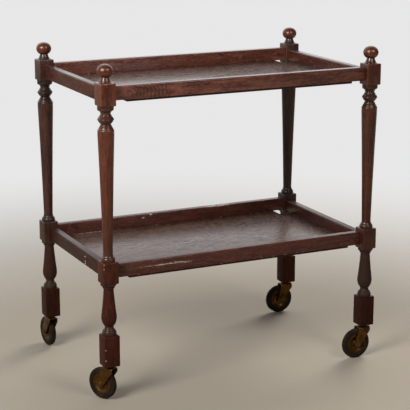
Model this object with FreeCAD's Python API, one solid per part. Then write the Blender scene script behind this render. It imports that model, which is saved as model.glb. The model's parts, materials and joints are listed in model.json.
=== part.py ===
import FreeCAD, Part
import math
import os

# Two-tier tea trolley: turned legs, gallery rails, thin tray panels and four swivelling casters.
# Millimetres. X runs along the length, Y across, Z up from the floor. The front is at -Y.

# Plan of the legs
leg_spacing_x = 665.6
leg_spacing_y = 391.6
leg_square = 36.6

# Heights of one leg's stretches, from the foot up
foot_block_height = 72.0
vase_height = 121.0
tier_block_height = 50.0
spindle_height = 347.0
neck_height = 12.9

# Flattened ball at the top of each leg
ball_radius = 18.5
ball_half_height = 14.7
ball_side_radius = 9.0

# Turned outlines, as shares of the turning's height and of half the leg's square.
# Each step cuts straight to its point, or bows to it, as a hollow or as a swell.
# A bow's third number is its depth as a share of its length.
vase_shares = [
    ("start", 0.0, 0.87),
    ("swell", 0.078, 0.875, 0.085),
    ("straight", 0.083, 0.845),
    ("swell", 0.15, 0.555, 0.08),
    ("straight", 0.172, 0.555),
    ("swell", 0.345, 0.95, 0.093),
    ("swell", 0.4, 0.92, 0.018),
    ("hollow", 0.905, 0.607, 0.008),
    ("straight", 0.918, 0.607),
    ("straight", 0.966, 0.93),
    ("swell", 0.99, 0.985, 0.12),
    ("straight", 1.0, 0.985),
]
spindle_shares = [
    ("start", 0.0, 0.86),
    ("swell", 0.027, 0.84, 0.1),
    ("straight", 0.029, 0.8),
    ("hollow", 0.052, 0.585, 0.05),
    ("hollow", 0.813, 1.0, 0.002),
    ("straight", 0.839, 1.0),
    ("swell", 0.8805, 0.615, 0.062),
    ("straight", 0.8865, 0.615),
    ("swell", 0.912, 0.965, 0.015),
    ("swell", 0.9185, 0.965, 0.25),
    ("swell", 0.945, 0.615, 0.015),
    ("straight", 0.9515, 0.615),
    ("hollow", 0.976, 0.965, 0.04),
    ("swell", 0.988, 0.985, 0.06),
    ("straight", 1.0, 0.985),
]
neck_shares = [
    ("start", 0.0, 0.84),
    ("straight", 0.1, 0.84),
    ("straight", 0.13, 0.68),
    ("hollow", 1.0, 0.48, 0.03),
]

# Gallery rails and their tenons
rail_height = 31.0
rail_thickness = 19.0
rail_setback = 15.1
rail_drop = 9.0
rail_round = 3.0
tenon_thickness = 8.0
tenon_shoulder = 4.0
tenon_mitre_gap = 1.0
mortise_clearance = 0.1

# Tray panels, under the long rails and in rebates of the end rails
panel_thickness = 4.8
panel_edge_setback = 2.0
panel_notch = 31.5
rebate_depth = 9.0
rebate_clearance = 0.5

# Caster wheel
wheel_radius = 37.0
tyre_width = 14.0
tyre_thickness = 12.5
tyre_shoulder = 2.0
rim_thickness = 4.0
rim_recess = 1.0
web_recess = 3.5
hub_boss_radius = 8.0
hub_boss_proud = 1.5

# Caster fork, a strap bent down on both sides of the wheel
caster_trail = 21.0
axle_radius = 3.5
axle_proud = 1.2
fork_gauge = 2.5
fork_bend_radius = 5.0
fork_end_radius = 8.0
crown_drop = 5.0
crown_back = 12.5
crown_front = 17.0
crown_skirt = 11.0
crown_boss_radius = 8.5

# Caster stem in its socket
stem_radius = 5.0
stem_reach = 34.0
socket_reach = 38.0
socket_wall = 2.0

# Fits
wheel_clearance = 2.5
hub_play = 0.5
running_clearance = 0.05
rivet_clearance = 0.02
drive_clearance = 0.05
swivel_gap = 0.3
cut_overrun = 5.0

# An outline that ends nearer to the axis than this ends on it
axis_reach = 0.001

# Headings of the casters at rest, from the swivel axis towards the wheel, degrees from +X
caster_headings = {
    "front_left": 120.0,
    "front_right": 181.0,
    "back_right": 178.0,
    "back_left": 95.0,
}

# Levels and places worked out from the sizes above
half_square = leg_square / 2
crown_level = 2 * wheel_radius + wheel_clearance + fork_gauge
foot_level = crown_level + crown_drop
vase_level = foot_level + foot_block_height
lower_block_level = vase_level + vase_height
spindle_level = lower_block_level + tier_block_height
upper_block_level = spindle_level + spindle_height
neck_level = upper_block_level + tier_block_height
ball_level = neck_level + neck_height
tier_levels = {"top": neck_level, "lower": spindle_level}
rail_inset = rail_setback + rail_thickness / 2 - half_square
rail_seat = half_square - rail_inset
rail_line_x = leg_spacing_x / 2 - rail_inset
rail_line_y = leg_spacing_y / 2 - rail_inset
hub_radius = wheel_radius - tyre_thickness
hub_half_width = tyre_width / 2 + hub_boss_proud
fork_half_gap = hub_half_width + hub_play
fork_half_width = fork_half_gap + fork_gauge
leg_places = {
    side + "_" + end: (sx * leg_spacing_x / 2, sy * leg_spacing_y / 2)
    for side, sy in (("front", -1), ("back", 1))
    for end, sx in (("left", -1), ("right", 1))
}


def at(x, y, z):
    return FreeCAD.Vector(x, y, z)


def save(shape, node):
    shape.exportStep("parts/" + node + ".step")


def revolved(edges):
    # Closes an outline in the XZ plane onto the Z axis, unless it ends there, and turns it
    first = edges[0].Vertexes[0].Point
    last = edges[-1].Vertexes[-1].Point
    foot = at(0, 0, first.z)
    head = at(0, 0, last.z)
    closing = [Part.makeLine(foot, first)] if first.x > axis_reach else []
    if last.x > axis_reach:
        closing.append(Part.makeLine(last, head))
    wire = Part.Wire(Part.__sortEdges__(closing + edges + [Part.makeLine(foot, head)]))
    return Part.Face(wire).revolve(at(0, 0, 0), at(0, 0, 1), 360)


def arc(start, middle, end):
    return Part.Arc(start, middle, end).toShape()


def ring(points):
    # A closed ring of straight-sided section, from radius and height pairs, about the Z axis
    corners = [at(r, 0, z) for r, z in points]
    face = Part.Face(Part.makePolygon(corners + corners[:1]))
    return face.revolve(at(0, 0, 0), at(0, 0, 1), 360)


def prism(corners, low, high):
    # A flat outline in plan, from X and Y pairs, raised from one level to another
    points = [at(x, y, low) for x, y in corners]
    face = Part.Face(Part.makePolygon(points + points[:1]))
    return face.extrude(at(0, 0, high - low))


def block(x, y, z):
    # A box from three pairs of limits
    return prism([(x[0], y[0]), (x[1], y[0]), (x[1], y[1]), (x[0], y[1])], z[0], z[1])


def bowed_middle(start, end, depth_share):
    # The middle of an arc between two points, sunk towards the leg's axis by a share of its length
    run = end - start
    inward = at(-run.z, 0, run.x)
    return (start + end) / 2 + inward * depth_share


def cuts_along(level, height, shares):
    # The edges of one turned outline, from its steps
    edges = []
    here = None
    for kind, rise, reach, *depth in shares:
        there = at(reach * half_square, 0, level + rise * height)
        if kind == "straight":
            edges.append(Part.makeLine(here, there))
        elif kind == "hollow":
            edges.append(arc(here, bowed_middle(here, there, depth[0]), there))
        elif kind == "swell":
            edges.append(arc(here, bowed_middle(here, there, -depth[0]), there))
        here = there
    return edges


def turning(level, height, shares):
    return revolved(cuts_along(level, height, shares))


def finial():
    # Neck and flattened ball: two cap arcs and a tighter side arc that meet smoothly
    neck = cuts_along(neck_level, neck_height, neck_shares)
    neck_radius = neck_shares[-1][2] * half_square
    rise = ball_half_height
    side_centre = ball_radius - ball_side_radius
    cap_radius = (rise ** 2 + side_centre ** 2 - ball_side_radius ** 2) / (2 * (rise - ball_side_radius))
    cap_centre = cap_radius - rise
    lower_end = math.sqrt(cap_radius ** 2 - neck_radius ** 2) - cap_centre
    centre = ball_level + lower_end
    lean = math.atan2(cap_centre, side_centre)
    join_x = side_centre + ball_side_radius * math.cos(lean)
    join_z = ball_side_radius * math.sin(lean)
    half_lean = (math.asin(neck_radius / cap_radius) + math.pi / 2 - lean) / 2
    low_x = cap_radius * math.sin(half_lean)
    low_z = cap_centre - cap_radius * math.cos(half_lean)
    high_lean = (math.pi / 2 - lean) / 2
    high_x = cap_radius * math.sin(high_lean)
    high_z = cap_radius * math.cos(high_lean) - cap_centre
    neck_top = at(neck_radius, 0, ball_level)
    edges = neck + [
        arc(neck_top, at(low_x, 0, centre + low_z), at(join_x, 0, centre - join_z)),
        arc(at(join_x, 0, centre - join_z), at(ball_radius, 0, centre), at(join_x, 0, centre + join_z)),
        arc(at(join_x, 0, centre + join_z), at(high_x, 0, centre + high_z), at(0, 0, centre + rise)),
    ]
    return revolved(edges)


def tenon_outline(shoulder, gap, slack):
    # Plan of a tenon whose end is mitred so that two of them meet inside the leg
    half = tenon_thickness / 2 + slack
    return [
        (shoulder, -half),
        (shoulder + rail_seat - half - gap, -half),
        (shoulder + rail_seat + half - gap, half),
        (shoulder, half),
    ]


def rail_top(tier, is_end):
    drop = rail_drop + panel_thickness if is_end else rail_drop
    return tier_levels[tier] - drop


def rail(tier, is_end):
    # A rail along X, its outer face towards +Y, with rounded top edges and a tenon at each end
    top = rail_top(tier, is_end)
    bottom = top - rail_height
    spacing = leg_spacing_y if is_end else leg_spacing_x
    shoulder = spacing / 2 - half_square
    half = rail_thickness / 2
    corner = rail_round * (1 - math.cos(math.pi / 4))
    flat = half - rail_round
    side = top - rail_round
    outline = [
        Part.makeLine(at(0, half, bottom), at(0, half, side)),
        arc(at(0, half, side), at(0, half - corner, top - corner), at(0, flat, top)),
        Part.makeLine(at(0, flat, top), at(0, -flat, top)),
        arc(at(0, -flat, top), at(0, corner - half, top - corner), at(0, -half, side)),
    ]
    if is_end:
        ledge = bottom + panel_thickness
        wall = rebate_depth - half
        outline += [
            Part.makeLine(at(0, -half, side), at(0, -half, ledge)),
            Part.makeLine(at(0, -half, ledge), at(0, wall, ledge)),
            Part.makeLine(at(0, wall, ledge), at(0, wall, bottom)),
            Part.makeLine(at(0, wall, bottom), at(0, half, bottom)),
        ]
    else:
        outline += [
            Part.makeLine(at(0, -half, side), at(0, -half, bottom)),
            Part.makeLine(at(0, -half, bottom), at(0, half, bottom)),
        ]
    bar = Part.Face(Part.Wire(outline)).extrude(at(2 * shoulder, 0, 0))
    bar.translate(at(-shoulder, 0, 0))
    for sign in (1, -1):
        plan = [(sign * x, y) for x, y in tenon_outline(shoulder, tenon_mitre_gap, 0)]
        bar = bar.fuse(prism(plan, bottom + tenon_shoulder, top - tenon_shoulder))
    return bar.removeSplitter()


def mortises(x_sign, y_sign):
    # The pockets that one leg needs for the tenons of the four rails that meet in it
    cuts = []
    for tier in tier_levels:
        for is_end in (False, True):
            top = rail_top(tier, is_end) - tenon_shoulder + mortise_clearance
            bottom = rail_top(tier, is_end) - rail_height + tenon_shoulder - mortise_clearance
            plan = tenon_outline(-half_square, 0, mortise_clearance)
            plan[0] = (plan[0][0] - cut_overrun, plan[0][1])
            plan[3] = (plan[3][0] - cut_overrun, plan[3][1])
            plan = [(x, y - rail_inset) for x, y in plan]
            if is_end:
                plan = [(y, x) for x, y in plan]
            plan = [(x_sign * x, y_sign * y) for x, y in plan]
            cuts.append(prism(plan, bottom, top))
    return cuts


def leg(name):
    x, y = leg_places[name]
    limits = (-half_square, half_square)
    solid = block(limits, limits, (foot_level, vase_level))
    solid = solid.fuse([
        turning(vase_level, vase_height, vase_shares),
        block(limits, limits, (lower_block_level, spindle_level)),
        turning(spindle_level, spindle_height, spindle_shares),
        block(limits, limits, (upper_block_level, neck_level)),
        finial(),
    ])
    bore_radius = stem_radius + running_clearance + socket_wall + drive_clearance
    bore = Part.makeCylinder(bore_radius, socket_reach + cut_overrun, at(0, 0, foot_level - cut_overrun))
    solid = solid.cut([bore] + mortises(math.copysign(1, x), math.copysign(1, y)))
    solid.translate(at(x, y, 0))
    return solid


def panel(tier):
    # Thin board with square notches at the corners. Its clear floor between the rails is a face of its own.
    top = rail_top(tier, False) - rail_height
    low = top - panel_thickness
    side = rail_line_y + rail_thickness / 2 - panel_edge_setback
    end = rail_line_x - rail_thickness / 2 + rebate_depth - rebate_clearance
    floor_y = rail_line_y - rail_thickness / 2
    floor_x = rail_line_x - rail_thickness / 2
    notch_x = leg_spacing_x / 2 - half_square - panel_notch
    notch_y = leg_spacing_y / 2 - half_square - panel_notch
    floor = block((-floor_x, floor_x), (-notch_y, notch_y), (low, top))
    floor = floor.fuse(block((-notch_x, notch_x), (-floor_y, floor_y), (low, top))).removeSplitter()
    laps = []
    for sign in (1, -1):
        laps.append(block((-notch_x, notch_x), sorted((sign * floor_y, sign * side)), (low, top)))
        laps.append(block(sorted((sign * floor_x, sign * end)), (-notch_y, notch_y), (low, top)))
    return floor.fuse(laps)


def placed(shape, name):
    # Turns a caster's piece from its own +X to the heading that it rests at, under its leg
    shape = shape.copy()
    x, y = leg_places[name]
    shape.rotate(at(0, 0, 0), at(0, 0, 1), caster_headings[name])
    shape.translate(at(x, y, 0))
    return shape


def on_axle(shape):
    # Turns a piece made about the Z axis onto the wheel's axle
    shape.rotate(at(0, 0, 0), at(1, 0, 0), 90)
    shape.translate(at(caster_trail, 0, wheel_radius))
    return shape


def socket():
    bore = stem_radius + running_clearance
    tube = bore + socket_wall
    top = foot_level + socket_reach
    return ring([(bore, foot_level), (tube, foot_level), (tube, top), (bore, top)])


def stem():
    low = crown_level - fork_gauge
    return Part.makeCylinder(stem_radius, foot_level + stem_reach - low, at(0, 0, low))


def tangent(x, z, side):
    # Where a line from a point touches the rounded end of the fork's cheek
    dx = x - caster_trail
    dz = z - wheel_radius
    angle = math.atan2(dz, dx) + side * math.acos(fork_end_radius / math.hypot(dx, dz))
    return caster_trail + fork_end_radius * math.cos(angle), wheel_radius + fork_end_radius * math.sin(angle)


def fork():
    low = wheel_radius - fork_end_radius - cut_overrun
    skirt = crown_level - crown_skirt
    back = tangent(-crown_back, skirt, 1)
    front = tangent(crown_front, crown_level, -1)
    bottom_angle = math.atan2(back[1] + front[1] - 2 * wheel_radius, back[0] + front[0] - 2 * caster_trail)
    end_x = caster_trail + fork_end_radius * math.cos(bottom_angle)
    end_z = wheel_radius + fork_end_radius * math.sin(bottom_angle)
    corners = [
        front,
        (crown_front, crown_level),
        (-crown_back, crown_level),
        (-crown_back, skirt),
        back,
    ]
    points = [at(x, -fork_half_width, z) for x, z in corners]
    cheek = [Part.makeLine(a, b) for a, b in zip(points, points[1:])]
    cheek.append(arc(points[-1], at(end_x, -fork_half_width, end_z), points[0]))
    side = Part.Face(Part.Wire(cheek)).extrude(at(0, 2 * fork_half_width, 0))

    def arch(half, top, radius):
        # A bar along X with a flat underside and two rounded top edges
        corner = radius * (1 - math.cos(math.pi / 4))
        bend = [(half, low), (half, top - radius), (half - corner, top - corner), (half - radius, top)]
        p = [at(-crown_back - cut_overrun, y, z) for y, z in bend]
        q = [at(v.x, -v.y, v.z) for v in p]
        edges = [
            Part.makeLine(p[0], p[1]),
            arc(p[1], p[2], p[3]),
            Part.makeLine(p[3], q[3]),
            arc(q[3], q[2], q[1]),
            Part.makeLine(q[1], q[0]),
            Part.makeLine(q[0], p[0]),
        ]
        reach = caster_trail + fork_end_radius + crown_back + 2 * cut_overrun
        return Part.Face(Part.Wire(edges)).extrude(at(reach, 0, 0))

    outer = arch(fork_half_width, crown_level, fork_bend_radius)
    inner = arch(fork_half_gap, crown_level - fork_gauge, fork_bend_radius - fork_gauge)
    underside = at(0, 0, crown_level - fork_gauge)
    boss_height = fork_gauge + crown_drop - swivel_gap
    solid = side.common(outer.cut(inner))
    solid = solid.fuse(Part.makeCylinder(crown_boss_radius, boss_height, underside))
    hole_radius = stem_radius + rivet_clearance
    hole_height = boss_height + 2 * cut_overrun
    stem_hole = Part.makeCylinder(hole_radius, hole_height, underside - at(0, 0, cut_overrun))
    reach = 2 * fork_half_width
    axle_hole = Part.makeCylinder(axle_radius + rivet_clearance, 2 * reach, at(0, 0, -reach))
    return solid.cut([stem_hole, on_axle(axle_hole)])


def axle():
    half = fork_half_width + axle_proud
    return on_axle(Part.makeCylinder(axle_radius, 2 * half, at(0, 0, -half)))


def hub():
    bore = axle_radius + running_clearance
    rim_half = tyre_width / 2 - rim_recess
    web_half = tyre_width / 2 - web_recess
    half = [
        (bore, hub_half_width),
        (hub_boss_radius, hub_half_width),
        (hub_boss_radius, web_half),
        (hub_radius - rim_thickness, web_half),
        (hub_radius - rim_thickness, rim_half),
        (hub_radius, rim_half),
    ]
    return on_axle(ring(half + [(r, -z) for r, z in reversed(half)]))


def tyre():
    half = [
        (hub_radius, tyre_width / 2),
        (wheel_radius - tyre_shoulder, tyre_width / 2),
        (wheel_radius, tyre_width / 2 - tyre_shoulder),
    ]
    return on_axle(ring(half + [(r, -z) for r, z in reversed(half)]))


os.makedirs("parts", exist_ok=True)

for leg_name in leg_places:
    save(leg(leg_name), leg_name + "_leg")

for tier_name in tier_levels:
    save(panel(tier_name), tier_name + "_tray_panel")
    long_rail = rail(tier_name, False)
    end_rail = rail(tier_name, True)
    for side_name, turn in (("back", 0), ("front", 180)):
        piece = long_rail.copy()
        piece.translate(at(0, rail_line_y, 0))
        piece.rotate(at(0, 0, 0), at(0, 0, 1), turn)
        save(piece, tier_name + "_" + side_name + "_rail")
    for side_name, turn in (("left", 90), ("right", -90)):
        piece = end_rail.copy()
        piece.translate(at(0, rail_line_x, 0))
        piece.rotate(at(0, 0, 0), at(0, 0, 1), turn)
        save(piece, tier_name + "_" + side_name + "_rail")

caster_pieces = {
    "caster_socket": socket(),
    "caster_stem": stem(),
    "caster_fork": fork(),
    "caster_axle": axle(),
    "wheel_hub": hub(),
    "wheel_tyre": tyre(),
}
for leg_name in leg_places:
    for piece_name, piece_shape in caster_pieces.items():
        save(placed(piece_shape, leg_name), leg_name + "_" + piece_name)
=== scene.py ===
import json
import math
import bmesh
import bpy
from mathutils import Matrix, Vector


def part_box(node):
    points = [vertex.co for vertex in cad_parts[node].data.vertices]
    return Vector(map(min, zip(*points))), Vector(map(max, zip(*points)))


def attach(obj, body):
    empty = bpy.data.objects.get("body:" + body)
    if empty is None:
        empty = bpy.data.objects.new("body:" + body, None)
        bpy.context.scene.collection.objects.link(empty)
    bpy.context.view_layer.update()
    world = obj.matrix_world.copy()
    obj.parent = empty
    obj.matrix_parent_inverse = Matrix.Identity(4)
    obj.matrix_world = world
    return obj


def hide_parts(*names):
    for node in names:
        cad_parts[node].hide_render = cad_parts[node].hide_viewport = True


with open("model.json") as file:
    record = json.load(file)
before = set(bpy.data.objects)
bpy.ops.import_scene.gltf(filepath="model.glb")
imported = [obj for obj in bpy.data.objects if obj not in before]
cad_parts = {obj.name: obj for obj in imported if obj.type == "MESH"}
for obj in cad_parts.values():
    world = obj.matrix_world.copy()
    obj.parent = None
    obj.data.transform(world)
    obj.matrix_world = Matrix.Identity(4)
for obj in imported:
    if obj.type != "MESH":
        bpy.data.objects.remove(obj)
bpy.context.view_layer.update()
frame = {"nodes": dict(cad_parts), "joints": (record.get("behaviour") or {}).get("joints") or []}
corners = ["front_left", "front_right", "back_left", "back_right"]
print("frame loaded,", len(frame["nodes"]), "nodes")


class Wire:
    # a socket in a material; arithmetic on it adds Math nodes
    def __init__(self, tree, socket=None):
        self.tree = tree
        self.socket = socket

    def node(self, kind, settings=None, inputs=None, output=0):
        made = self.tree.nodes.new(kind)
        for name, value in (settings or {}).items():
            if name == "stops":
                self.setStops(made.color_ramp, value)
            else:
                setattr(made, name, value)
        for name, value in (inputs or {}).items():
            if isinstance(value, Wire):
                self.tree.links.new(value.socket, made.inputs[name])
            else:
                made.inputs[name].default_value = value
        return Wire(self.tree, made.outputs[output])

    def setStops(self, ramp, stops):
        while len(ramp.elements) < len(stops):
            ramp.elements.new(1.0)
        for element, (place, colour) in zip(ramp.elements, stops):
            element.position = place
            element.color = colour

    def math(self, operation, first, second=0.0):
        return self.node("ShaderNodeMath", {"operation": operation}, {0: first, 1: second})

    def __add__(self, other):
        return self.math("ADD", self, other)

    def __sub__(self, other):
        return self.math("SUBTRACT", self, other)

    def __rsub__(self, other):
        return self.math("SUBTRACT", other, self)

    def __mul__(self, other):
        return self.math("MULTIPLY", self, other)

    __radd__ = __add__
    __rmul__ = __mul__


# shader pieces that every finish shares
unstretched = (1.0, 1.0, 1.0)


def objectPlace(start):
    return start.node("ShaderNodeTexCoord", output="Object")


def axisOf(start, vector, axis):
    return start.node("ShaderNodeSeparateXYZ", None, {0: vector}, axis)


def faceMark(start, name):
    return start.node("ShaderNodeAttribute", {"attribute_name": name}, output="Fac")


def upward(start):
    return axisOf(start, start.node("ShaderNodeNewGeometry", output="Normal"), "Z")


def rayIs(start, kind):
    return start.node("ShaderNodeLightPath", output="Is " + kind + " Ray")


def larger(start, first, second):
    return start.math("MAXIMUM", first, second)


def grain(start, stretch, scale, detail, rough, bend=0.0):
    place = start.node("ShaderNodeMapping", None, {"Vector": objectPlace(start), "Scale": stretch})
    inputs = {"Vector": place, "Scale": scale, "Detail": detail, "Roughness": rough, "Distortion": bend}
    return start.node("ShaderNodeTexNoise", {"noise_dimensions": "3D"}, inputs)


def between(start, value, low, high):
    settings = {"interpolation_type": "SMOOTHSTEP"}
    return start.node("ShaderNodeMapRange", settings, {"Value": value, "From Min": low, "From Max": high})


def blendColour(start, factor, first, second):
    return start.node("ShaderNodeMix", {"data_type": "RGBA"}, {0: factor, 6: first, 7: second}, 2)


def colourRamp(start, factor, stops):
    return start.node("ShaderNodeValToRGB", {"stops": stops}, {"Fac": factor})


def raised(start, height, strength, depth):
    return start.node("ShaderNodeBump", None, {"Height": height, "Strength": strength, "Distance": depth})


def newFinish(name, fixed, build):
    material = bpy.data.materials.new(name)
    material.use_nodes = True
    tree = material.node_tree
    shader = next(n for n in tree.nodes if n.type == "BSDF_PRINCIPLED")
    for socket, value in fixed.items():
        shader.inputs[socket].default_value = value
    for socket, wire in build(Wire(tree)).items():
        tree.links.new(wire.socket, shader.inputs[socket])
    return material


# stained oak: colours, then what a piece may change
oakLook = {
    "dark": (0.024, 0.0072, 0.0044),
    "mid": (0.086, 0.0225, 0.0120),
    "red": (0.160, 0.0400, 0.0190),
    "fleck": (0.260, 0.0900, 0.0560),
    "worn": (0.200, 0.0600, 0.0270),
    "chip": (0.42, 0.29, 0.21),
    "pore": (0.009, 0.0040, 0.0030),
    "cove": (0.040, 0.0190, 0.0140),
    "tint": (1.0, 1.0, 1.0),
    "spread": 0.14,                     # narrower gives a stronger figure
    "flecks": 0.25,
    "patches": 0.0,
    "arches": None,
    # how dark the lower parts get, partly grime and partly painted shade
    "grimeAndShade": 0.78,
    "chipStart": 0.66,                  # lower gives more chips
    "rough": 0.30,
    "coat": 0.4,
    "beadCoat": 0.30,                   # polish in beads and coves
    "shine": 0.22,
    "glow": (1.0, 1.0, 1.0, 1.0),       # colour of the shine
}
# noise across the grain and along it, its detail, roughness and bend
oakGrain = {
    "figure": (62.0, 10.0, 4.0, 0.6, 1.1),
    "streak": (300.0, 12.0, 3.0, 0.6, 0.3),
    "pores": (900.0, 42.0, 2.0, 0.5, 0.0),
    "flecks": (120.0, 34.0, 3.0, 0.6, 1.4),
    "patches": (34.0, 7.0, 3.0, 0.5, 0.8),
}
grainScale = 2.0        # of all five
# noise that runs every way: scale, detail and roughness
oakCloud = {
    "cloud": (13.0, 3.0, 0.5),
    "rubbed": (60.0, 4.0, 0.7),
    "chips": (95.0, 2.0, 0.5),
}
# where each pattern starts and where it is full
oakBands = {
    "pores": (0.54, 0.68),
    "flecks": (0.48, 0.66),
    "patches": (0.46, 0.64),
    "cloud": (0.35, 0.65),
    "rubbed": (0.30, 0.62),
    "cleanAndLit": (0.08, 0.70),              # height in metres; the lower parts are darker, partly with grime and partly with painted shade
    "top": (0.80, 0.97),                # upward part of the normal
    "chipWidth": 0.04,                  # from a piece's own chipStart
}
# how much of each pattern shows in the colour, the polish, the roughness and the relief
oakShares = {
    "figure": 0.66,
    "cloud": 0.22,
    "pores": 0.7,
    "worn": 0.8,
    "cove": 0.75,
    "chips": 0.85,
    "topCoat": 0.85,
    "topGrime": 0.85,
    "coatRough": 0.22,
    "streakRough": 0.14,
    "poreRough": 0.2,
    "rubbedRough": 0.05,
    "grimeRough": 0.06,
    "chipRough": 0.25,
    "streakRelief": 0.5,
    "fleckRelief": 0.3,
    "coveRelief": 0.8,
    "bump": 0.25,
    "bumpDepth": 0.0004,
}
markLook = {
    "torn": ((75.0, 75.0, 320.0), 2.0, 4.0, 0.7),
    "tornBand": (0.42, 0.56),
    "fade": (0.6, 1.5),
    "short": 0.005,                     # marks up to this half length aren't torn
    "edgeIn": 0.002,
    "edgeOut": 0.001,
}


def markMask(start, marks, axes):
    # a mark is its middle along the piece, its middle Z, half length and half height,
    # and the place across the piece past which it shows
    place = objectPlace(start)
    run, across, z = (axisOf(start, place, axis) for axis in axes)
    torn = between(start, grain(start, *markLook["torn"]), *markLook["tornBand"])
    total = None
    for middle, height, length, rise, edge in marks:
        aside = start.math("ABSOLUTE", run - middle) * (1.0 / length)
        above = start.math("ABSOLUTE", z - height) * (1.0 / rise)
        mark = 1 - between(start, aside + above, *markLook["fade"])
        beyond = across * math.copysign(1.0, edge)
        mark = mark * between(start, beyond, abs(edge) - markLook["edgeIn"], abs(edge) + markLook["edgeOut"])
        if length > markLook["short"]:
            mark = mark * torn
        total = mark if total is None else larger(start, total, mark)
    return total


def archMask(start, arches, wander):
    # growth rings of a flat-sawn board, cut as nested arches about a point below the rail, and a painted
    # shade towards the right
    place = objectPlace(start)
    x, z = (axisOf(start, place, axis) for axis in "XZ")
    middleX, middleZ = arches["middle"]
    low, high = arches["span"]
    fade = arches["fade"]
    across = (x - middleX) * arches["squeeze"]
    rise = z - middleZ
    reach = start.math("SQRT", across * across + rise * rise) + wander * arches["wander"]
    rings = between(start, start.math("SINE", reach * (2 * math.pi / arches["pitch"])), *arches["band"])
    rings = rings * between(start, x, low, low + fade) * (1 - between(start, x, high - fade, high))
    # painted shade: the rail is darker towards its right end
    shade = between(start, x, *arches["shade"]) * arches["shadeDepth"]
    return larger(start, rings * arches["depth"], shade)


def oakFinish(name, along, look, marks=()):
    # the grain runs along one axis
    share = oakShares

    def tinted(colour):
        return tuple(part * tint for part, tint in zip(look[colour], look["tint"])) + (1.0,)

    def build(start):
        def wood(pattern):
            across, length, detail, rough, bend = oakGrain[pattern]
            stretch = tuple(length if axis == along else across for axis in "XYZ")
            value = grain(start, stretch, grainScale, detail, rough, bend)
            return between(start, value, *oakBands[pattern]) if pattern in oakBands else value

        figure = wood("figure")
        streak = wood("streak")
        pores = wood("pores")
        flecks = wood("flecks")
        cloud = between(start, grain(start, unstretched, *oakCloud["cloud"]), *oakBands["cloud"])
        arris = faceMark(start, "arris")
        hollow = faceMark(start, "hollow")
        rubbed = arris * between(start, grain(start, unstretched, *oakCloud["rubbed"]), *oakBands["rubbed"])
        chipNoise = grain(start, unstretched, *oakCloud["chips"])
        chipEnd = look["chipStart"] + oakBands["chipWidth"]
        chips = arris * between(start, chipNoise, look["chipStart"], chipEnd)
        if marks:
            chips = larger(start, chips, markMask(start, marks, "YXZ" if along == "Y" else "XYZ"))
        # darker towards the bottom: partly grime, partly painted shade of the light falling off downward
        grimeAndShade = 1 - between(start, axisOf(start, objectPlace(start), "Z"), *oakBands["cleanAndLit"])
        top = between(start, upward(start), *oakBands["top"])

        tone = colourRamp(start, figure * share["figure"] + streak * (1 - share["figure"]), [
            (0.5 - look["spread"], tinted("dark")),
            (0.5, tinted("mid")),
            (0.5 + look["spread"], tinted("red")),
        ])
        tone = blendColour(start, cloud * share["cloud"], tone, tinted("red"))
        tone = blendColour(start, flecks * look["flecks"], tone, tinted("fleck"))
        if look["patches"]:
            tone = blendColour(start, wood("patches") * look["patches"], tone, tinted("fleck"))
        if look["arches"]:
            tone = blendColour(start, archMask(start, look["arches"], figure), tone, tinted("dark"))
        tone = blendColour(start, pores * share["pores"], tone, tinted("pore"))
        tone = blendColour(start, rubbed * (1 - grimeAndShade) * share["worn"], tone, tinted("worn"))
        # painted shade and grime darken the lower parts
        tone = blendColour(start, grimeAndShade * look["grimeAndShade"], tone, tinted("dark"))
        tone = blendColour(start, hollow * share["cove"], tone, tinted("cove"))
        tone = blendColour(start, chips * share["chips"], tone, tinted("chip"))

        rough = look["rough"] + streak * share["streakRough"] + pores * share["poreRough"]
        rough = rough - rubbed * share["rubbedRough"]
        rough = rough + grimeAndShade * share["grimeRough"] + chips * share["chipRough"]
        topPolish = (1 - grimeAndShade * share["topGrime"]) * top * share["topCoat"]
        polish = larger(start, (1 - grimeAndShade) * look["coat"], topPolish)
        polish = larger(start, polish, hollow * look["beadCoat"])
        relief = streak * share["streakRelief"] + flecks * share["fleckRelief"] - pores
        relief = relief * (1 - hollow * share["coveRelief"]) - chips
        bump = raised(start, relief, share["bump"], share["bumpDepth"])
        return {"Base Color": tone, "Roughness": rough, "Coat Weight": polish, "Normal": bump}

    fixed = {
        "Coat Roughness": share["coatRough"],
        "Specular IOR Level": look["shine"],
        "Specular Tint": look["glow"],
    }
    return newFinish(name, fixed, build)


# gallery rails, with scuffs on the lower long ones and nicks on the lower left one
railLook = {
    **oakLook,
    "dark": (0.031, 0.0072, 0.0036),
    "tint": (0.98, 1.06, 1.16),
    "spread": 0.12,
    "flecks": 0.48,
    "fleck": (0.30, 0.105, 0.066),
    "chip": (0.50, 0.40, 0.32),
    "coat": 0.6,
    "chipStart": 0.62,
}
railScuffs = [
    (-0.205, 0.3035, 0.060, 0.0014, -0.15),
    (-0.172, 0.3040, 0.034, 0.0020, -0.15),
    (-0.145, 0.3015, 0.014, 0.0012, -0.15),
    (-0.088, 0.3096, 0.004, 0.0018, 0.15),
    (-0.067, 0.3160, 0.004, 0.0018, 0.15),
    (0.124, 0.3175, 0.040, 0.0016, 0.15),
    (-0.230, 0.2880, 0.040, 0.0014, 0.15),
]
# the top front rail was cut where the figure arches, and has a painted shade that darkens it towards the
# right
frontRailLook = {
    **railLook,
    "flecks": 0.36,
    "patches": 0.34,
    "arches": {
        "middle": (-0.292, 0.694),
        "span": (-0.292, -0.165),
        "fade": 0.03,
        "squeeze": 0.6,
        "pitch": 0.0054,
        "wander": 0.010,
        "band": (-0.4, 0.7),
        "depth": 0.65,
        "shade": (-0.12, 0.22),
        "shadeDepth": 0.34,
    },
}
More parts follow.
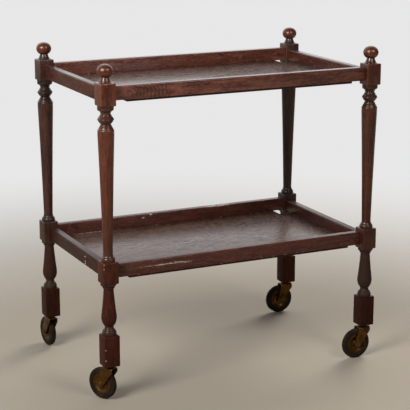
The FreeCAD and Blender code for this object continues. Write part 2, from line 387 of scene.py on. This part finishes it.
# the greyer tint of the left end rails is a painted sheen of the light from the left
leftRailLook = {
    **oakLook,
    "tint": (0.70, 0.86, 0.92),
    "rough": 0.34,
    "coat": 0.2,
    "shine": 0.12,
    "grimeAndShade": 0.9,
    "chip": (0.80, 0.62, 0.50),
}
leftRailNicks = [
    (-0.061, 0.3025, 0.0034, 0.0018, -0.30),
    (-0.061, 0.2912, 0.0030, 0.0016, -0.30),
    (-0.061, 0.2858, 0.0024, 0.0024, -0.30),
]
longRailOak = oakFinish("longRailOak", "X", railLook, railScuffs)
frontRailOak = oakFinish("frontRailOak", "X", frontRailLook)
leftRailOak = oakFinish("leftRailOak", "Y", leftRailLook, leftRailNicks)
# the right end rails are tinted darker: painted shade on the side away from the light
rightRailOak = oakFinish("rightRailOak", "Y", {**railLook, "tint": (0.68, 0.62, 0.60)})

# veneered board of the trays, with a darker sawn edge; a noise is stretch, scale, detail, roughness and bend
boardLook = {
    "dark": (0.060, 0.030, 0.021, 1.0),
    "light": (0.135, 0.078, 0.056, 1.0),
    "line": (0.035, 0.017, 0.012, 1.0),
    "edge": (0.026, 0.0115, 0.0075, 1.0),
    "figure": ((4.0, 26.0, 26.0), 2.2, 5.0, 0.62, 1.2),
    "mottle": ((40.0, 48.0, 48.0), 2.0, 4.0, 0.65, 0.8),
    "lines": ((14.0, 150.0, 150.0), 2.0, 3.0, 0.6, 0.4),
    "wipe": ((3.0, 6.0, 6.0), 3.0, 3.0, 0.5),
    "sawn": ((60.0, 60.0, 500.0), 2.0, 3.0, 0.6),
    "toneBand": (0.38, 0.62),
    "lineBand": (0.50, 0.64),
    "mottleBand": (0.4, 0.62),
    "flatBand": (0.3, 0.7),             # upright part of the normal
    "upperBand": (0.35, 0.6),           # height in metres, between the two boards
    "figureShare": 0.5,
    "lineShare": 0.6,
    "lowShare": 0.2,                    # how much darker the lower board is
    "rough": 0.16,
    "wipeRough": 0.16,
    "lineRough": 0.22,
    "mottleRough": 0.14,
    "sideRough": 0.35,
    "coat": 0.3,
    "lowCoat": 0.15,                    # polish that the lower board has lost
    "coatRough": 0.2,
    "mottleRelief": 0.6,
    "bump": 0.22,
    "bumpDepth": 0.0004,
    "sawnRough": 0.6,
    "sawnVaried": 0.2,
    "sawnShine": 0.05,
}


def buildBoard(start):
    look = boardLook
    figure = grain(start, *look["figure"])
    mottle = grain(start, *look["mottle"])
    line = between(start, grain(start, *look["lines"]), *look["lineBand"])
    wipe = grain(start, *look["wipe"])
    side = 1 - between(start, start.math("ABSOLUTE", upward(start)), *look["flatBand"])
    low = 1 - between(start, axisOf(start, objectPlace(start), "Z"), *look["upperBand"])
    mixed = figure * look["figureShare"] + mottle * (1 - look["figureShare"])
    tone = colourRamp(start, mixed, list(zip(look["toneBand"], (look["dark"], look["light"]))))
    tone = blendColour(start, line * look["lineShare"], tone, look["line"])
    tone = blendColour(start, low * look["lowShare"], tone, look["line"])
    tone = blendColour(start, side, tone, look["edge"])
    blotch = between(start, mottle, *look["mottleBand"])
    rough = look["rough"] + wipe * look["wipeRough"] + line * look["lineRough"]
    rough = rough + blotch * look["mottleRough"] + side * look["sideRough"]
    polish = (1 - side) * (look["coat"] - low * look["lowCoat"])
    bump = raised(start, mottle * look["mottleRelief"] - line, look["bump"], look["bumpDepth"])
    return {"Base Color": tone, "Roughness": rough, "Coat Weight": polish, "Normal": bump}


def buildEdge(start):
    sawn = grain(start, *boardLook["sawn"])
    tone = blendColour(start, sawn, boardLook["edge"], boardLook["line"])
    return {"Base Color": tone, "Roughness": boardLook["sawnRough"] + sawn * boardLook["sawnVaried"]}


trayBoard = newFinish("trayBoard", {"Coat Roughness": boardLook["coatRough"]}, buildBoard)
boardEdge = newFinish("boardEdge", {"Specular IOR Level": boardLook["sawnShine"]}, buildEdge)

# dull brass with brown tarnish
brassLook = {
    "bright": (0.155, 0.070, 0.0135, 1.0),
    "tarnish": (0.024, 0.012, 0.0045, 1.0),
    "worn": (0.40, 0.23, 0.07, 1.0),
    "patch": (55.0, 5.0, 0.65, 0.4),
    "speck": (420.0, 2.0, 0.6),
    "patchShare": 0.8,
    "dullBand": (0.24, 0.72),
    "wornShare": 0.8,
    "rough": 0.3,
    "dullRough": 0.25,
    "metal": 0.96,
    "dullMetal": 0.3,                   # metal look that the tarnish takes away
    "shine": 0.12,
    "bump": 0.1,
    "bumpDepth": 0.0002,
}


def buildBrass(start):
    look = brassLook
    patch = grain(start, unstretched, *look["patch"])
    speck = grain(start, unstretched, *look["speck"])
    mixed = patch * look["patchShare"] + speck * (1 - look["patchShare"])
    dull = between(start, mixed, *look["dullBand"])
    tone = blendColour(start, dull, look["bright"], look["tarnish"])
    tone = blendColour(start, faceMark(start, "arris") * (1 - dull) * look["wornShare"], tone, look["worn"])
    rough = look["rough"] + dull * look["dullRough"]
    metal = look["metal"] - dull * look["dullMetal"]
    bump = raised(start, speck, look["bump"], look["bumpDepth"])
    return {"Base Color": tone, "Roughness": rough, "Metallic": metal, "Normal": bump}


agedBrass = newFinish("agedBrass", {"Specular IOR Level": brassLook["shine"]}, buildBrass)

# black tyre with a dusty brown bloom
rubberLook = {
    "base": (0.0150, 0.0105, 0.0070, 1.0),
    "bloom": (0.042, 0.0290, 0.0190, 1.0),
    "dust": (38.0, 5.0, 0.7),
    "fine": (900.0, 2.0, 0.5),
    "dustBand": (0.42, 0.75),
    "dustShare": 0.7,
    "rough": 0.42,
    "dustRough": 0.25,
    "shine": 0.04,
    "bump": 0.15,
    "bumpDepth": 0.0002,
}


def buildRubber(start):
    look = rubberLook
    dust = between(start, grain(start, unstretched, *look["dust"]), *look["dustBand"])
    fine = grain(start, unstretched, *look["fine"])
    tone = blendColour(start, dust * look["dustShare"], look["base"], look["bloom"])
    rough = look["rough"] + dust * look["dustRough"]
    bump = raised(start, fine, look["bump"], look["bumpDepth"])
    return {"Base Color": tone, "Roughness": rough, "Normal": bump}


tyreRubber = newFinish("tyreRubber", {"Specular IOR Level": rubberLook["shine"]}, buildRubber)

# brushed steel of the sockets, stems and screws
steelLook = {
    "dark": (0.10, 0.082, 0.065, 1.0),
    "light": (0.22, 0.185, 0.15, 1.0),
    "brushed": ((300.0, 300.0, 20.0), 4.0, 3.0, 0.6),
    "rough": 0.28,
    "varied": 0.2,
    "bump": 0.08,
    "bumpDepth": 0.0001,
}


def buildSteel(start):
    look = steelLook
    brushed = grain(start, *look["brushed"])
    tone = blendColour(start, brushed, look["dark"], look["light"])
    rough = look["rough"] + brushed * look["varied"]
    bump = raised(start, brushed, look["bump"], look["bumpDepth"])
    return {"Base Color": tone, "Roughness": rough, "Normal": bump}


plainSteel = newFinish("plainSteel", {"Metallic": 1.0}, buildSteel)
print("finishes of rails, boards and casters made")

# mesh helpers; lengths in metres, angles in degrees
meshLimits = {
    "merge": 1e-6,
    "flat": 1.0,            # faces that meet at less become one
    "eased": 40.0,          # edges that turn more are eased
    "sharp": 34.0,          # edges that turn more are shaded hard
    "arcStep": 0.14,        # radians, about one straight step of an arc
    "arcLeast": 3,          # steps in the shortest arc
}


def addPiece(name, shape, finishes, body, nodes=()):
    mesh = bpy.data.meshes.new(name)
    bmesh.ops.recalc_face_normals(shape, faces=shape.faces)
    shape.to_mesh(mesh)
    shape.free()
    for finish in finishes:
        mesh.materials.append(finish)
    mesh.shade_smooth()
    mesh.set_sharp_from_angle(angle=math.radians(meshLimits["sharp"]))
    piece = bpy.data.objects.new(name, mesh)
    bpy.context.scene.collection.objects.link(piece)
    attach(piece, body)
    if nodes:
        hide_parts(*nodes)


def newShape():
    shape = bmesh.new()
    shape.faces.layers.float.new("arris")       # rubbed edges
    shape.faces.layers.float.new("hollow")      # beads and coves where polish gathers
    return shape


def vertsIn(items):
    return [item for item in items if isinstance(item, bmesh.types.BMVert)]


def easeEdges(shape, edges, width, segments):
    # rounds the edges and marks the new faces as rubbed
    made = bmesh.ops.bevel(shape, geom=edges, offset=width, offset_type="OFFSET", affect="EDGES",
                           segments=segments, profile=0.5, material=-1, clamp_overlap=True)
    rubbed = shape.faces.layers.float["arris"]
    for face in made["faces"]:
        face[rubbed] = 1.0


def joinShapes(parts):
    whole = newShape()
    for part in parts:
        mesh = bpy.data.meshes.new("part")
        part.to_mesh(mesh)
        part.free()
        whole.from_mesh(mesh)
        bpy.data.meshes.remove(mesh)
    return whole


def lathe(cuts, turns):
    # draws half an outline cut by cut, then spins it about Z; a cut is height, radius and bulge,
    # and the bulge is the rise of an arc as a share of its chord
    shape = newShape()
    tip = shape.verts.new((cuts[0][1], 0.0, cuts[0][0]))
    for height, radius, bulge in cuts[1:]:
        target = Vector((radius, 0.0, height))
        run = target - tip.co
        if bulge == 0.0:
            tip = bmesh.ops.extrude_vert_indiv(shape, verts=[tip])["verts"][0]
            bmesh.ops.translate(shape, verts=[tip], vec=run)
        else:
            turn = 4 * math.atan(2 * bulge)
            outward = Vector((run.z, 0.0, -run.x)) / run.length
            centre = tip.co + run / 2 - outward * (run.length / 2 / math.tan(turn / 2))
            steps = max(meshLimits["arcLeast"], round(abs(turn) / meshLimits["arcStep"]))
            spun = bmesh.ops.spin(shape, geom=[tip], cent=centre, axis=(0, 1, 0), angle=-turn, steps=steps)
            tip = vertsIn(spun["geom_last"])[0]
    outline = list(shape.verts) + list(shape.edges)
    bmesh.ops.spin(shape, geom=outline, cent=(0, 0, 0), axis=(0, 0, 1), angle=2 * math.pi, steps=turns,
                   use_merge=True)
    bmesh.ops.remove_doubles(shape, verts=shape.verts, dist=meshLimits["merge"])
    return shape


def softCopy(node, width, segments):
    # a CAD node's own shape with its sharp edges eased
    shape = newShape()
    shape.from_mesh(frame["nodes"][node].data)
    bmesh.ops.remove_doubles(shape, verts=shape.verts, dist=meshLimits["merge"])
    flat = math.radians(meshLimits["flat"])
    eased = math.radians(meshLimits["eased"])
    bmesh.ops.dissolve_limit(shape, angle_limit=flat, verts=shape.verts, edges=shape.edges)
    sharp = [e for e in shape.edges if len(e.link_faces) == 2 and e.calc_face_angle() > eased]
    easeEdges(shape, sharp, width, segments)
    bmesh.ops.dissolve_degenerate(shape, dist=meshLimits["merge"], edges=shape.edges)
    return shape


# turned legs, with the same heights as the solids and fuller coves and beads
legSizes = {
    "square": 0.0366,
    "footBlock": 0.072,
    "vase": 0.121,
    "tierBlock": 0.050,
    "spindle": 0.347,
    "ballFoot": 0.295,      # share of the finial's height
    "ease": (0.0022, 3),    # width and segments
    "turns": 64,
}
# height share, radius share and bulge of each cut, from the bottom up
vaseCuts = [
    (0.0, 0.0, 0), (0.0, 0.835, 0), (0.092, 0.77, 0.13), (0.098, 0.70, 0),                  # foot roll
    (0.150, 0.55, -0.06), (0.172, 0.56, -0.2), (0.345, 0.95, 0.093), (0.40, 0.92, 0.018),   # bowl
    (0.898, 0.607, -0.008),                                                                 # taper
    (0.901, 0.67, 0), (0.905, 0.735, 0.15), (0.921, 0.735, 0.18), (0.925, 0.68, 0),         # ring
    (0.934, 0.71, -0.10), (0.950, 0.90, 0.10), (0.975, 0.985, 0.08), (1.0, 0.985, 0),       # collar
    (1.0, 0.0, 0),
]
spindleCuts = [
    (0.0, 0.0, 0), (0.0, 0.835, 0), (0.0265, 0.77, 0.13), (0.0285, 0.71, 0),                # foot roll
    (0.052, 0.585, -0.06), (0.813, 1.0, -0.002),                                            # taper
    (0.839, 1.0, 0), (0.851, 0.935, 0.13), (0.868, 0.765, 0.02),                            # shoulder
    (0.869, 0.72, 0), (0.879, 0.655, 0.16), (0.8815, 0.615, 0), (0.8865, 0.615, -0.15),     # neck ring
    (0.889, 0.68, 0), (0.912, 0.965, 0.05), (0.9185, 0.965, 0.25), (0.933, 0.765, 0.03),    # sharp bead
    (0.934, 0.72, 0), (0.944, 0.655, 0.16), (0.9455, 0.615, 0), (0.9515, 0.615, -0.15),     # neck ring
    (0.966, 0.72, -0.06), (0.971, 0.90, 0), (0.981, 0.985, 0.14), (1.0, 0.985, 0),          # collar
    (1.0, 0.0, 0),
]
finialCuts = [
    (0.0, 0.0, 0), (0.0, 0.84, 0), (0.024, 0.84, 0.15), (0.036, 0.74, 0),                   # collar
    (legSizes["ballFoot"], 0.50, -0.045),                                                   # neck
    (0.40, 0.80, 0.0614), (0.845, 0.80, 0.176), (1.0, 0.0, 0.1067),                         # ball
]
# height shares between which a turned length has no beads or coves
plainSpans = {"vase": (0.20, 0.90), "spindle": (0.052, 0.855), "finial": (0.32, 1.0)}

# the front legs keep a warm polish, and all feet are dull
polishedLook = {
    **oakLook,
    "rough": 0.22,
    "glow": (1.0, 0.66, 0.47, 1.0),
    "beadCoat": 0.34,
    "chipStart": 0.72,
}
footLook = {
    **oakLook,
    "shine": 0.05,
    "coat": 0.3,
    "cove": (0.060, 0.036, 0.029),
    "beadCoat": 0.04,
    "chipStart": 0.74,
}
# the balls are handled most and keep their shine
ballLook = {
    **oakLook,
    "tint": (0.66, 0.46, 0.36),
    "spread": 0.20,
    "flecks": 0.10,
    "rough": 0.24,
    "coat": 0.12,
    "shine": 0.90,
    "glow": (1.0, 0.66, 0.47, 1.0),
}
ballRub = 0.22
ballOak = oakFinish("ballOak", "Z", ballLook)
# each leg's tint is partly its stain and partly painted shade, darker on the legs that get less light;
# vaseDull is how far the polish on its vase has gone dull, and dullBlock takes the foot's finish up to the
# top of the lower block
legLooks = {
    "front_left": {
        "turned": {**polishedLook, "tint": (1.0, 0.97, 0.95), "grimeAndShade": 1.0, "shine": 0.36},
        "foot": {**footLook, "tint": (1.0, 0.97, 0.95), "cove": oakLook["cove"], "beadCoat": 0.30},
        "vaseDull": 0.0,
        "dullBlock": True,
        "nicks": [
            (-0.3488, 0.1260, 0.0017, 0.0014, -0.2115),
            (-0.3489, 0.1015, 0.0018, 0.0020, -0.2115),
            (-0.3495, 0.3140, 0.0012, 0.0016, -0.2115),
            (-0.3495, 0.3240, 0.0010, 0.0018, -0.2115),
        ],
    },
    "front_right": {
        "turned": {**polishedLook, "tint": (0.50, 0.47, 0.48), "grimeAndShade": 0.62, "shine": 0.50},
        "foot": {**footLook, "tint": (0.64, 0.66, 0.68)},
        "vaseDull": 0.7,
        "dullBlock": False,
        "nicks": [],
    },
    "back_left": {
        "turned": {**oakLook, "tint": (0.50, 0.66, 0.78), "grimeAndShade": 0.12},
        "foot": {**footLook, "tint": (0.80, 0.90, 0.86)},
        "vaseDull": 0.4,
        "dullBlock": False,
        "nicks": [],
    },
    "back_right": {
        "turned": {**oakLook, "tint": (0.42, 0.58, 0.72), "grimeAndShade": 0.50},
        "foot": {**footLook, "tint": (1.05, 1.12, 0.96)},
        "vaseDull": 0.2,
        "dullBlock": False,
        "nicks": [],
    },
}


def turned(cuts, level, height, plain, within=0.0):
    # outside the plain span, polish has gathered in the beads and coves
    half = legSizes["square"] / 2
    placed = [(level + rise * height, reach * half, bulge) for rise, reach, bulge in cuts]
    shape = lathe(placed, legSizes["turns"])
    hollow = shape.faces.layers.float["hollow"]
    for face in shape.faces:
        share = (face.calc_center_median().z - level) / height
        face[hollow] = within if plain[0] < share < plain[1] else 1.0
    return shape


def squared(level, height):
    shape = newShape()
    side = legSizes["square"]
    bmesh.ops.create_cube(shape, size=1.0)
    bmesh.ops.scale(shape, verts=shape.verts, vec=(side, side, height))
    bmesh.ops.translate(shape, verts=shape.verts, vec=(0, 0, level + height / 2))
    easeEdges(shape, list(shape.edges), *legSizes["ease"])
    return shape


def buildLeg(corner, look):
    low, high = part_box(corner + "_leg")
    vase = low.z + legSizes["footBlock"]
    lowerBlock = vase + legSizes["vase"]
    spindle = lowerBlock + legSizes["tierBlock"]
    upperBlock = spindle + legSizes["spindle"]
    neck = upperBlock + legSizes["tierBlock"]
    ball = neck + legSizes["ballFoot"] * (high.z - neck)
    finial = turned(finialCuts, neck, high.z - neck, plainSpans["finial"])
    rubbed = finial.faces.layers.float["arris"]
    for face in finial.faces:
        face[rubbed] = ballRub
    shape = joinShapes([
        squared(low.z, legSizes["footBlock"]),
        turned(vaseCuts, vase, legSizes["vase"], plainSpans["vase"], look["vaseDull"]),
        squared(lowerBlock, legSizes["tierBlock"]),
        turned(spindleCuts, spindle, legSizes["spindle"], plainSpans["spindle"]),
        squared(upperBlock, legSizes["tierBlock"]),
        finial,
    ])
    middle = (low + high) / 2
    bmesh.ops.translate(shape, verts=shape.verts, vec=(middle.x, middle.y, 0))
    dullTop = spindle if look["dullBlock"] else lowerBlock
    for face in shape.faces:
        level = face.calc_center_median().z
        face.material_index = 1 if level < dullTop else 2 if level > ball else 0
    turnedOak = oakFinish("turnedOak_" + corner, "Z", look["turned"])
    footOak = oakFinish("footOak_" + corner, "Z", look["foot"], look["nicks"])
    finishes = [turnedOak, footOak, ballOak]
    addPiece(corner + "_turnedLeg", shape, finishes, "frame", [corner + "_leg"])


for corner in corners:
    buildLeg(corner, legLooks[corner])
print("legs turned")

# gallery rails and tray boards: width and segments of the eased edges
easeSizes = {"rail": (0.0008, 3), "board": (0.0005, 2), "fork": (0.0005, 2)}
edgeTilt = 0.5      # board faces whose normal leans more to the side have the sawn finish
railFinishes = {
    "top": {"front": frontRailOak, "back": longRailOak, "left": leftRailOak, "right": rightRailOak},
    "lower": {"front": longRailOak, "back": longRailOak, "left": leftRailOak, "right": rightRailOak},
}
for tier, finishes in railFinishes.items():
    for side, finish in finishes.items():
        node = tier + "_" + side + "_rail"
        addPiece(node + "_eased", softCopy(node, *easeSizes["rail"]), [finish], "frame", [node])
    node = tier + "_tray_panel"
    board = softCopy(node, *easeSizes["board"])
    board.normal_update()
    for face in board.faces:
        face.material_index = 1 if abs(face.normal.z) < edgeTilt else 0
    addPiece(node + "_eased", board, [trayBoard, boardEdge], "frame", [node])
print("rails and boards fitted")

# slotted screws that hold the boards up to the rails
screwSizes = {
    "radius": 0.0034,
    "sides": 20,
    "proud": 0.0004,
    "slot": 0.0004,         # half width
    "depth": 0.0007,
    "sideInset": 0.0075,
    "endInset": 0.0045,
    "sideShares": (-0.76, -0.38, 0.0, 0.38, 0.76),
    "endShares": (-0.55, 0.0, 0.55),
    "turns": (97.0, 61.0),  # radians per metre along X and Y, so that the slots point different ways
}


def screwHead(place):
    size = screwSizes
    shape = newShape()
    bmesh.ops.create_circle(shape, cap_ends=True, segments=size["sides"], radius=size["radius"])
    for sign in (1, -1):
        whole = list(shape.verts) + list(shape.edges) + list(shape.faces)
        bmesh.ops.bisect_plane(shape, geom=whole, plane_co=(0, sign * size["slot"], 0), plane_no=(0, 1, 0))
    head = bmesh.ops.extrude_face_region(shape, geom=list(shape.faces))
    bmesh.ops.translate(shape, verts=vertsIn(head["geom"]), vec=(0, 0, -2 * size["proud"]))

    def isSlot(face):
        middle = face.calc_center_median()
        outer = face.normal.z < -0.5 and middle.z < -size["proud"]
        return outer and abs(middle.y) < size["slot"] / 2

    slot = [face for face in shape.faces if isSlot(face)]
    sunk = bmesh.ops.extrude_face_region(shape, geom=slot)
    bmesh.ops.translate(shape, verts=vertsIn(sunk["geom"]), vec=(0, 0, size["depth"]))
    bmesh.ops.delete(shape, geom=slot, context="FACES")
    alongX, alongY = size["turns"]
    turn = Matrix.Rotation(alongX * place.x + alongY * place.y, 3, "Z")
    bmesh.ops.rotate(shape, verts=shape.verts, cent=(0, 0, 0), matrix=turn)
    bmesh.ops.translate(shape, verts=shape.verts, vec=place + Vector((0, 0, size["proud"])))
    return shape


for tier in railFinishes:
    low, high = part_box(tier + "_tray_panel")
    endX = high.x - screwSizes["endInset"]
    sideY = high.y - screwSizes["sideInset"]
    heads = []
    for sign in (1, -1):
        for share in screwSizes["sideShares"]:
            heads.append(screwHead(Vector((share * high.x, sign * sideY, low.z))))
        for share in screwSizes["endShares"]:
            heads.append(screwHead(Vector((sign * endX, share * high.y, low.z))))
    addPiece(tier + "_tray_screws", joinShapes(heads), [plainSteel], "frame")
print("screws set")

# casters: eased strap fork, domed rivet, ringed hub and round-shouldered tyre
rivetSizes = {"axle": 0.0035, "radius": 0.0058, "dome": 0.0017, "edge": 0.3, "half": 0.0115, "turns": 40}
hubSizes = {
    "bore": 0.00355,
    "boss": 0.008,
    "rim": 0.0245,
    "half": 0.0085,
    "turns": 96,
    # half widths of the relief, from the boss out to the rim
    "bossFoot": 0.0046,
    "dish": 0.0028,
    "dishEdge": 0.0026,
    "ringFoot": 0.0054,
    "ring": 0.0060,
    "groove": 0.0055,
    "lip": 0.0059,
    "lipEdge": 0.0052,
}
tyreSizes = {
    "seat": 0.0245,
    "tread": 0.037,
    "half": 0.007,
    "turns": 112,
    "crown": 0.064,         # bulge of the tread
    # relief, measured from the seat, the tread and the wall
    "toe": 0.0010,
    "wallTop": 0.0078,
    "grooveTop": 0.0071,
    "grooveDepth": 0.0007,
    "shoulder": 0.0062,
    "shoulderIn": 0.0004,
    "treadEdge": 0.0005,
}


def bothSides(cuts, crown=0.0):
    # the cuts run outwards on one side of the middle plane, and the other side mirrors them
    lower = [(-reach, radius, bulge) for reach, radius, bulge in cuts]
    bulges = [crown] + [bulge for reach, radius, bulge in cuts[:0:-1]]
    upper = [(reach, radius, bulge) for (reach, radius, old), bulge in zip(cuts[::-1], bulges)]
    closing = [(lower[0][0], lower[0][1], 0.0)] if lower[0][1] > 0.0 else []
    return lower + upper + closing


def rivetShape(size):
    end = size["half"]
    return lathe(bothSides([
        (end + size["dome"], 0.0, 0),
        (end + size["dome"] * size["edge"], size["radius"], 0.11),
        (end, size["radius"], 0),
        (end, size["axle"], 0),
    ]), size["turns"])


def hubShape(size):
    boss = size["boss"]
    rim = size["rim"]
    return lathe(bothSides([
        (size["half"], size["bore"], 0),
        (size["half"], boss * 0.88, 0),
        (size["half"] * 0.87, boss, 0.2),
        (size["bossFoot"], boss * 1.05, 0),
        (size["dish"], boss * 1.3, -0.2),
        (size["dishEdge"], rim * 0.50, 0),
        (size["ringFoot"], rim * 0.79, -0.12),
        (size["ring"], rim * 0.82, 0.2),
        (size["groove"], rim * 0.86, 0),
        (size["lip"], rim * 0.90, 0),
        (size["lip"], rim * 0.97, 0.05),
        (size["lipEdge"], rim, 0.1),
    ]), size["turns"])


def tyreShape(size):
    seat = size["seat"]
    tread = size["tread"]
    half = size["half"]
    return lathe(bothSides([
        (half * 0.92, seat, 0),
        (half, seat + size["toe"], 0.15),
        (half, tread - size["wallTop"], 0.01),
        (half - size["grooveDepth"], tread - size["grooveTop"], 0),
        (half - size["shoulderIn"], tread - size["shoulder"], 0),
        (half * 0.55, tread - size["treadEdge"], 0.15),
    ], size["crown"]), size["turns"])


def onAxle(shape, joint):
    turn = Vector((0, 0, 1)).rotation_difference(Vector(joint["axis"])).to_matrix().to_4x4()
    bmesh.ops.transform(shape, matrix=Matrix.Translation(joint["pos_m"]) @ turn, verts=shape.verts)
    return shape


def buildCaster(corner, roll):
    caster = corner + "_caster"
    wheel = corner + "_wheel"
    strap = softCopy(caster + "_fork", *easeSizes["fork"])
    rivet = onAxle(rivetShape(rivetSizes), roll)
    hub = onAxle(hubShape(hubSizes), roll)
    tyre = onAxle(tyreShape(tyreSizes), roll)
    addPiece(caster + "_strap", strap, [agedBrass], caster, [caster + "_fork"])
    addPiece(caster + "_rivet", rivet, [agedBrass], caster, [caster + "_axle"])
    addPiece(wheel + "_ringedHub", hub, [agedBrass], wheel, [wheel + "_hub"])
    addPiece(wheel + "_roundTyre", tyre, [tyreRubber], wheel, [wheel + "_tyre"])
    for node in (caster + "_socket", caster + "_stem"):
        solid = frame["nodes"][node]
        solid.data.materials.clear()
        solid.data.materials.append(plainSteel)


joints = {joint["name"]: joint for joint in frame["joints"]}
for corner in corners:
    buildCaster(corner, joints[corner + "_roll"])
print("casters fitted")

# floor, light and camera
stageLook = {
    "size": 40.0,
    "floor": (0.375, 0.325, 0.255, 1.0),
    "shade": 0.96,              # the floor's darker cloud
    "cloud": (1.2, 3.0, 0.5),
    "rough": 0.7,
    "sweep": (0.80, 0.80, 0.80, 1.0),
    "sweepSpan": (0.45, 2.1),
    "sweepShine": 0.06,
    "frontSky": (0.08, 0.08, 0.082, 1.0),
    "backSky": (1.05, 1.06, 1.08, 1.0),
    "skyBand": (0.05, 0.75),
    "backFill": 0.45,
}


def buildFloor(start):
    cloud = grain(start, unstretched, *stageLook["cloud"])
    floor = stageLook["floor"]
    shaded = tuple(stageLook["shade"] * part for part in floor[:3]) + (1.0,)
    return {"Base Color": blendColour(start, cloud, floor, shaded)}


def addSweep(material):
    # away from the object the floor passes into a pale sweep, as a paper roll does
    tree = material.node_tree
    start = Wire(tree)
    away = start.node("ShaderNodeVectorMath", {"operation": "LENGTH"}, {0: objectPlace(start)}, "Value")
    back = between(start, away, *stageLook["sweepSpan"])
    seen = larger(start, rayIs(start, "Camera"), rayIs(start, "Glossy") * stageLook["sweepShine"])
    seen = larger(start, seen, rayIs(start, "Transmission"))
    paper = start.node("ShaderNodeEmission", None, {"Color": stageLook["sweep"], "Strength": 1.0})
    shader = next(n for n in tree.nodes if n.type == "BSDF_PRINCIPLED")
    target = next(n for n in tree.nodes if n.type == "OUTPUT_MATERIAL")
    floor = Wire(tree, shader.outputs[0])
    both = start.node("ShaderNodeMixShader", None, {0: back * seen, 1: floor, 2: paper})
    tree.links.new(both.socket, target.inputs["Surface"])
    return material


floorMesh = bmesh.new()
bmesh.ops.create_grid(floorMesh, x_segments=1, y_segments=1, size=stageLook["size"] / 2)
ground = bpy.data.meshes.new("floor")
floorMesh.to_mesh(ground)
floorMesh.free()
ground.materials.append(addSweep(newFinish("paleFloor", {"Roughness": stageLook["rough"]}, buildFloor)))
floorObject = bpy.data.objects.new("floor", ground)
bpy.context.scene.collection.objects.link(floorObject)

# name: place, aim, width, watts, whether polish mirrors it
lamps = {
    "leftSoftbox": ((-2.5, -1.35, 2.1), (0.0, 0.0, 0.65), 1.5, 98.0, True),
    "frontSoftbox": ((0.6, -2.4, 2.1), (0.0, 0.0, 0.65), 1.0, 26.0, True),
    "backSoftbox": ((2.4, 1.5, 1.9), (0.0, 0.0, 0.5), 1.8, 84.0, False),
}
for name, (place, aim, width, watts, mirrored) in lamps.items():
    lamp = bpy.data.lights.new(name, "AREA")
    lamp.shape = "DISK"
    lamp.size = width
    lamp.energy = watts
    holder = bpy.data.objects.new(name, lamp)
    holder.location = place
    holder.rotation_euler = (Vector(aim) - Vector(place)).to_track_quat("-Z", "Y").to_euler()
    holder.visible_glossy = mirrored
    bpy.context.scene.collection.objects.link(holder)


def buildSky(start):
    # pale behind the object and dark in front; the camera sees the sweep's own tone
    around = start.node("ShaderNodeTexCoord", output="Generated")
    behind = between(start, axisOf(start, around, "Y"), *stageLook["skyBand"])
    shone = stageLook["backFill"] + rayIs(start, "Glossy") * (1 - stageLook["backFill"])
    pale = blendColour(start, behind * shone, stageLook["frontSky"], stageLook["backSky"])
    return blendColour(start, rayIs(start, "Camera"), pale, stageLook["sweep"])


world = bpy.data.worlds.new("studio")
world.use_nodes = True
sky = next(n for n in world.node_tree.nodes if n.type == "BACKGROUND")
world.node_tree.links.new(buildSky(Wire(world.node_tree)).socket, sky.inputs["Color"])
bpy.context.scene.world = world

cameraView = {
    "place": (-1.4312, -2.9816, 1.2035),
    "turn": (75.92, 0.0, -25.61),       # degrees
    "lens": 123.87,
    "sensor": 36.0,
}
lensData = bpy.data.cameras.new("camera")
lensData.lens = cameraView["lens"]
lensData.sensor_width = cameraView["sensor"]
camera = bpy.data.objects.new("camera", lensData)
camera.location = cameraView["place"]
camera.rotation_euler = [math.radians(angle) for angle in cameraView["turn"]]
bpy.context.scene.collection.objects.link(camera)
bpy.context.scene.camera = camera
bpy.context.scene.view_settings.view_transform = "Standard"
print("stage set")
